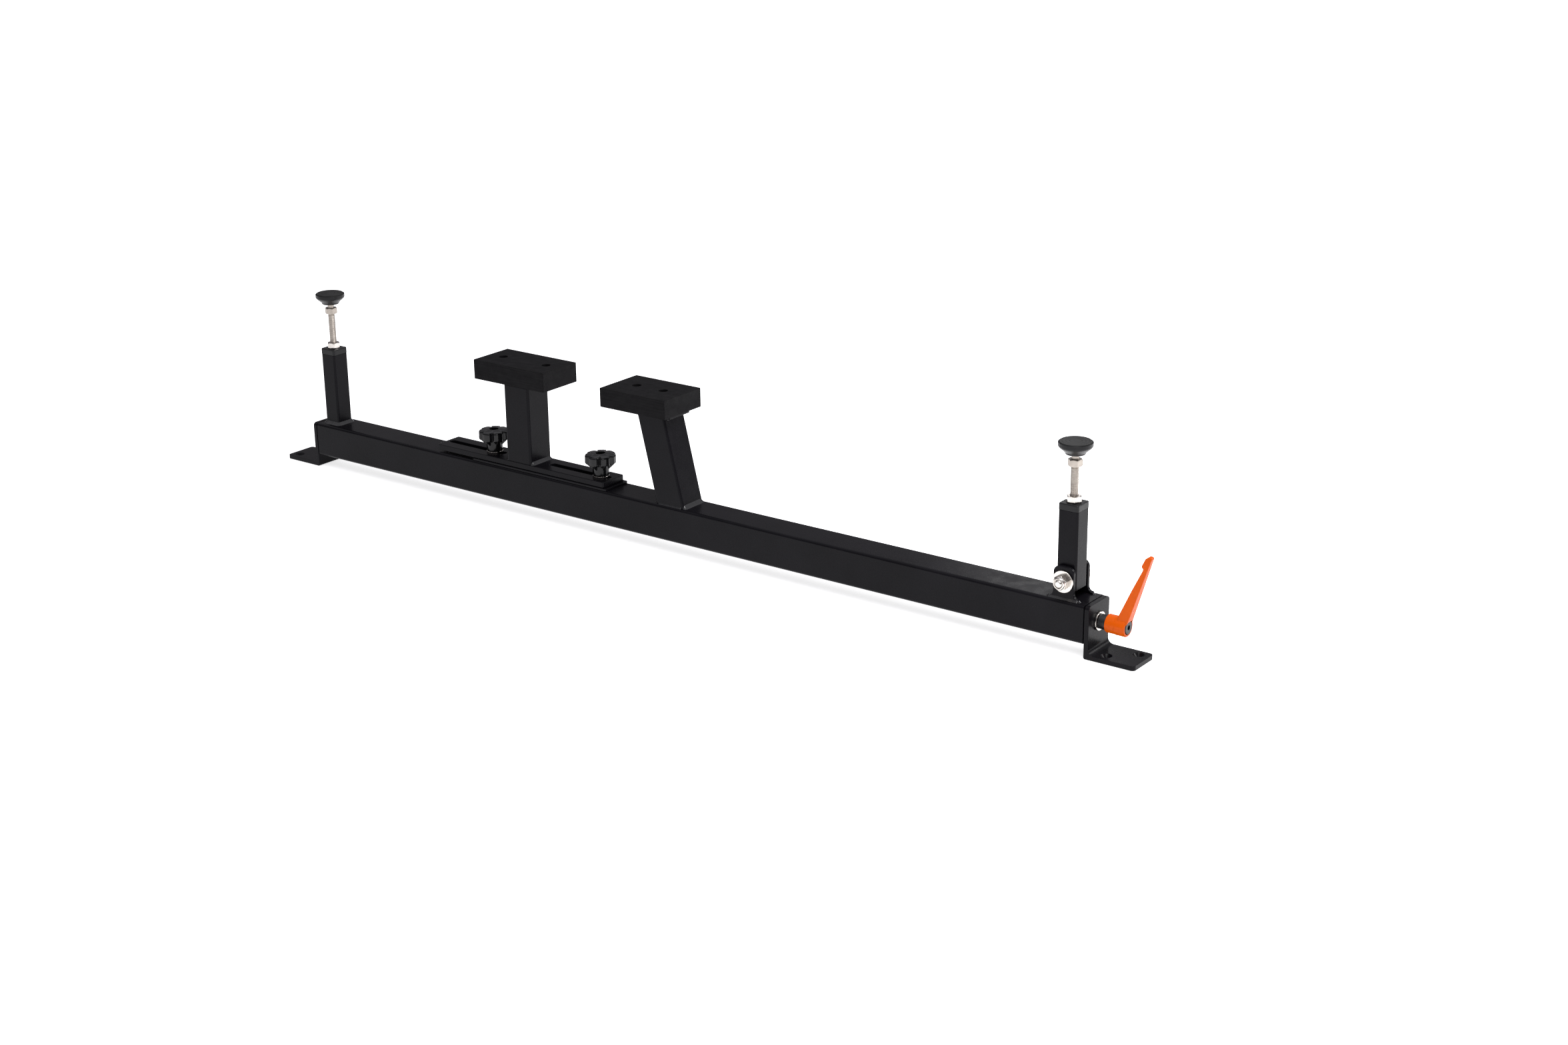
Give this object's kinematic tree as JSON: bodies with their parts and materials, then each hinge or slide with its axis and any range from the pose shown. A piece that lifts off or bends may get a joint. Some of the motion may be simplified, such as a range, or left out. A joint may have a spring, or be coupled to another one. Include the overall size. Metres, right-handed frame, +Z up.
{
  "type": "ski tuning vise",
  "caption": "Square beam that rolls between bench brackets, with a sliding heel rest, a leaning toe rest and height-adjustable end supports that hold a ski for edge and base work.",
  "frame": {"origin": "centre of the footprint on the bench surface, under the middle of the box round the whole tool", "axes": "+X along the beam towards the clamping lever, +Y across the beam towards the back, +Z up from the bench"},
  "size_m": [1.4692, 0.078, 0.2677],
  "materials": {
    "powder_black": "semi-gloss black powder coat, fine orange peel",
    "bright_steel": "bright zinc-plated steel",
    "dark_steel": "black oxide steel",
    "nylon": "off-white nylon",
    "cap_plastic": "black moulded plastic, satin",
    "pad_rubber": "black rubber",
    "knob_plastic": "glossy black moulded plastic",
    "block_plastic": "sawn and milled black polyethylene",
    "lever_orange": "orange coated die casting"
  },
  "bodies": {
    "feet": {"left_bracket": "powder_black", "right_bracket": "powder_black"},
    "beam": {"main_beam": "powder_black", "beam_end_plate_left": "powder_black", "beam_end_plate_right": "powder_black", "left_pivot_bolt": "bright_steel", "left_pivot_washer": "bright_steel", "left_bearing_washer": "nylon", "right_bearing_washer": "nylon", "slide_base_strip": "powder_black", "left_threaded_insert": "bright_steel", "right_threaded_insert": "bright_steel", "left_post": "powder_black", "left_post_cap": "cap_plastic", "front_ear": "powder_black", "back_ear": "powder_black", "hinge_bolt": "bright_steel", "hinge_nut": "bright_steel", "hinge_washer_front": "bright_steel", "hinge_washer_back": "bright_steel", "hinge_spacer_front": "nylon", "hinge_spacer_back": "nylon", "toe_post": "powder_black", "toe_top_plate": "powder_black", "toe_block": "block_plastic", "toe_block_screw_left": "dark_steel", "toe_block_screw_right": "dark_steel"},
    "lever": {"lever_insert": "dark_steel", "lever_screw": "dark_steel", "lever_washer": "bright_steel", "lever_spring": "bright_steel"},
    "lever_grip": {"lever_handle": "lever_orange"},
    "heel_carriage": {"slide_plate": "powder_black", "heel_post": "powder_black", "heel_top_plate": "powder_black", "heel_block": "block_plastic", "heel_block_screw_left": "dark_steel", "heel_block_screw_right": "dark_steel"},
    "left_knob": {"left_star_knob": "knob_plastic", "left_knob_stud": "bright_steel", "left_knob_washer": "bright_steel"},
    "right_knob": {"right_star_knob": "knob_plastic", "right_knob_stud": "bright_steel", "right_knob_washer": "bright_steel"},
    "left_nut": {"left_lock_nut": "bright_steel"},
    "left_height": {"left_stud": "bright_steel"},
    "left_swivel": {"left_pad": "cap_plastic", "left_pad_face": "pad_rubber"},
    "right_support": {"right_post": "powder_black", "right_post_cap": "cap_plastic"},
    "right_nut": {"right_lock_nut": "bright_steel"},
    "right_height": {"right_stud": "bright_steel"},
    "right_swivel": {"right_pad": "cap_plastic", "right_pad_face": "pad_rubber"}
  },
  "joints": [
    {"name": "beam_roll", "type": "hinge", "parent": "feet", "child": "beam", "pos_m": [0, 0, 0.043], "axis": [1, 0, 0], "range_deg": [-90, 90]},
    {"name": "lever_turn", "type": "hinge", "parent": "feet", "child": "lever", "pos_m": [0.6654, 0, 0.043], "axis": [1, 0, 0], "range_deg": [-90, 90]},
    {"name": "lever_pull", "type": "slide", "parent": "lever", "child": "lever_grip", "axis": [1, 0, 0], "range_m": [0, 0.0035], "stiffness_N_per_m": 1000, "springref_m": -0.003},
    {"name": "heel_slide", "type": "slide", "parent": "beam", "child": "heel_carriage", "axis": [1, 0, 0], "range_m": [-0.012, 0.08]},
    {"name": "left_knob_turn", "type": "hinge", "parent": "beam", "child": "left_knob", "pos_m": [-0.3211, 0, 0.1], "axis": [0, 0, 1], "continuous": true},
    {"name": "right_knob_turn", "type": "hinge", "parent": "beam", "child": "right_knob", "pos_m": [-0.1211, 0, 0.1], "axis": [0, 0, 1], "continuous": true},
    {"name": "left_nut_turn", "type": "hinge", "parent": "beam", "child": "left_nut", "pos_m": [-0.6416, 0, 0.1882], "axis": [0, 0, 1], "continuous": true},
    {"name": "left_stud_height", "type": "slide", "parent": "beam", "child": "left_height", "axis": [0, 0, 1], "range_m": [-0.04, 0.03]},
    {"name": "left_pad_tilt", "type": "hinge", "parent": "left_height", "child": "left_swivel", "pos_m": [-0.6416, 0, 0.256], "axis": [0, 1, 0], "range_deg": [-10, 10]},
    {"name": "right_support_fold", "type": "hinge", "parent": "beam", "child": "right_support", "pos_m": [0.6262, 0, 0.0912], "axis": [0, 1, 0], "range_deg": [-90, 30]},
    {"name": "right_nut_turn", "type": "hinge", "parent": "right_support", "child": "right_nut", "pos_m": [0.6262, 0, 0.1912], "axis": [0, 0, 1], "continuous": true},
    {"name": "right_stud_height", "type": "slide", "parent": "right_support", "child": "right_height", "axis": [0, 0, 1], "range_m": [-0.035, 0.03]},
    {"name": "right_pad_tilt", "type": "hinge", "parent": "right_height", "child": "right_swivel", "pos_m": [0.6262, 0, 0.2515], "axis": [0, 1, 0], "range_deg": [-10, 10]}
  ]
}
